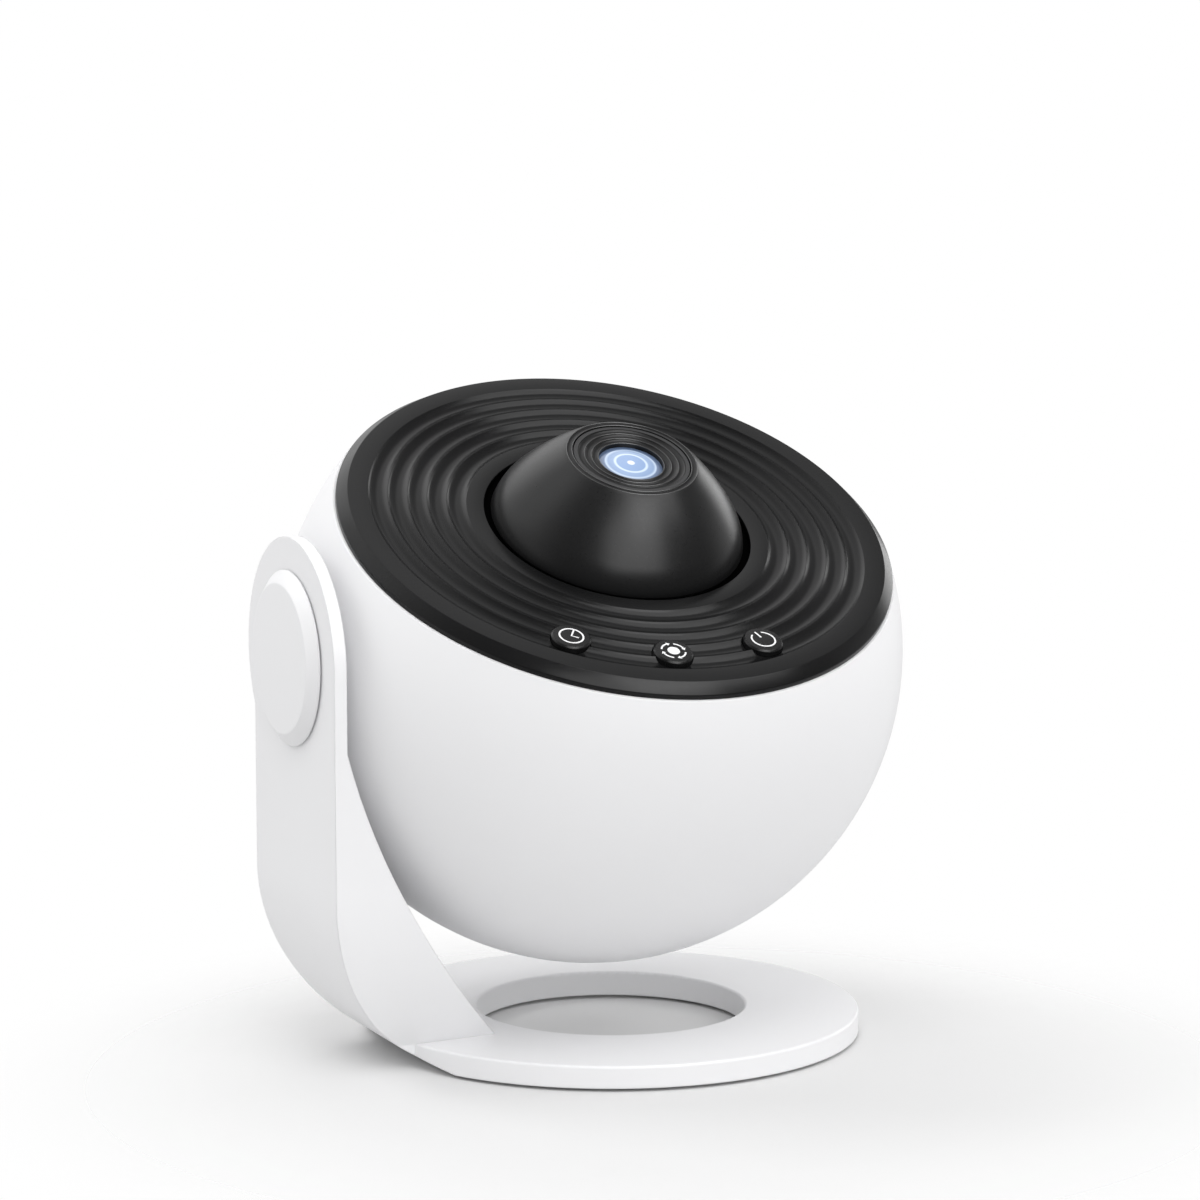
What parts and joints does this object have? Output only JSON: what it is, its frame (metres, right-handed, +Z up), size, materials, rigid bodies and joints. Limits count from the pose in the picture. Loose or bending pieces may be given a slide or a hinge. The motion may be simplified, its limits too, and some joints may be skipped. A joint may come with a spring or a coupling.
{
  "type": "galaxy projector",
  "caption": "Ball-shaped projector lamp that tilts on a flat side arm over a ring base, with a rippled face, push buttons and a turning focus cone round a stepped lens.",
  "frame": {"origin": "on the floor, under the middle of the whole object", "axes": "+Z up; +X along the tilt axis, from the arm to the ball; -Y the front, where the face leans"},
  "size_m": [0.1342, 0.1302, 0.1341],
  "materials": {
    "white_shell": "fine matte",
    "white_stand": "fine matte",
    "black_face": "satin",
    "black_turret": "satin",
    "black_button": "gloss",
    "black_inner": "matte",
    "grey_inner": "matte",
    "natural_gear": "moulded",
    "lens_glass": "coated",
    "film_glass": "printed film",
    "steel": "bright",
    "weight_steel": "zinc grey",
    "sink_metal": "turned",
    "pad_rubber": "soft matte",
    "bush_plastic": "self-lubricating",
    "board_green": "lacquer",
    "lamp_chip": "clear dome over phosphor"
  },
  "bodies": {
    "stand": {"stand_frame": "white_stand", "base_weight": "weight_steel", "base_pad": "pad_rubber", "weight_screws": "steel", "arm_bush": "bush_plastic", "pivot_cap": "white_stand"},
    "head": {"ball_shell": "white_shell", "front_bezel": "black_face", "chassis_plate": "grey_inner", "chassis_screws": "steel", "pivot_hub": "sink_metal", "hub_screws": "steel", "friction_washer": "bush_plastic", "spring_washer": "steel", "clamp_washer": "steel", "pivot_screw": "steel", "guide_sleeve": "black_inner", "sleeve_screws": "steel", "sleeve_circlip": "steel", "gear_motor": "steel", "motor_screws": "steel", "optics_deck": "grey_inner", "deck_pillars": "steel", "deck_screws": "steel", "lamp_housing": "black_inner", "condenser_lens": "lens_glass", "condenser_ring": "black_inner", "led_board": "sink_metal", "led_emitter": "lamp_chip", "heat_sink": "sink_metal", "heat_sink_screws": "steel", "button_board": "board_green", "button_board_screws": "steel", "switch_cases": "black_inner", "main_board": "board_green", "main_board_screws": "steel", "board_components": "black_inner", "usb_socket": "steel", "inlet_board": "board_green", "inlet_screws": "steel"},
    "turret": {"focus_turret": "black_turret", "cam_sleeve": "black_inner", "turret_screws": "steel"},
    "barrel": {"lens_barrel": "black_inner", "cam_pins": "steel", "lens_hood": "black_turret", "front_lens": "lens_glass", "lens_spacer": "black_inner", "rear_lens": "lens_glass", "lens_retainer": "black_inner"},
    "film": {"film_carrier": "natural_gear", "film_slide": "film_glass", "film_clip": "steel"},
    "pinion": {"drive_pinion": "natural_gear", "motor_shaft": "steel"},
    "timer_key": {"timer_button": "black_button"},
    "mode_key": {"mode_button": "black_button"},
    "power_key": {"power_button": "black_button"}
  },
  "joints": [
    {"name": "head_tilt", "type": "hinge", "parent": "stand", "child": "head", "pos_m": [0.00215, -0.00151, 0.084], "axis": [1, 0, 0], "continuous": true},
    {"name": "focus_turn", "type": "hinge", "parent": "head", "child": "turret", "pos_m": [0.00215, 0, 0.08095], "axis": [0, -0.4446, 0.8957], "range_deg": [-40, 40]},
    {"name": "lens_focus", "type": "slide", "parent": "head", "child": "barrel", "axis": [0, -0.4446, 0.8957], "range_m": [-0.0016, 0.0016]},
    {"name": "film_spin", "type": "hinge", "parent": "head", "child": "film", "pos_m": [0.00215, 0, 0.08095], "axis": [0, -0.4446, 0.8957], "continuous": true},
    {"name": "pinion_spin", "type": "hinge", "parent": "head", "child": "pinion", "pos_m": [0.00215, -0.02239, 0.06984], "axis": [0, -0.4446, 0.8957], "continuous": true},
    {"name": "timer_press", "type": "slide", "parent": "head", "child": "timer_key", "axis": [0, 0.4446, -0.8957], "range_m": [0, 0.0005], "stiffness_N_per_m": 800, "springref_m": -0.0005},
    {"name": "mode_press", "type": "slide", "parent": "head", "child": "mode_key", "axis": [0, 0.4446, -0.8957], "range_m": [0, 0.0005], "stiffness_N_per_m": 800, "springref_m": -0.0005},
    {"name": "power_press", "type": "slide", "parent": "head", "child": "power_key", "axis": [0, 0.4446, -0.8957], "range_m": [0, 0.0005], "stiffness_N_per_m": 800, "springref_m": -0.0005}
  ],
  "couplings": [
    {"joint": "focus_turn", "follows": "lens_focus", "rad_per_m": -436.33},
    {"joint": "pinion_spin", "follows": "film_spin", "ratio": -4}
  ]
}
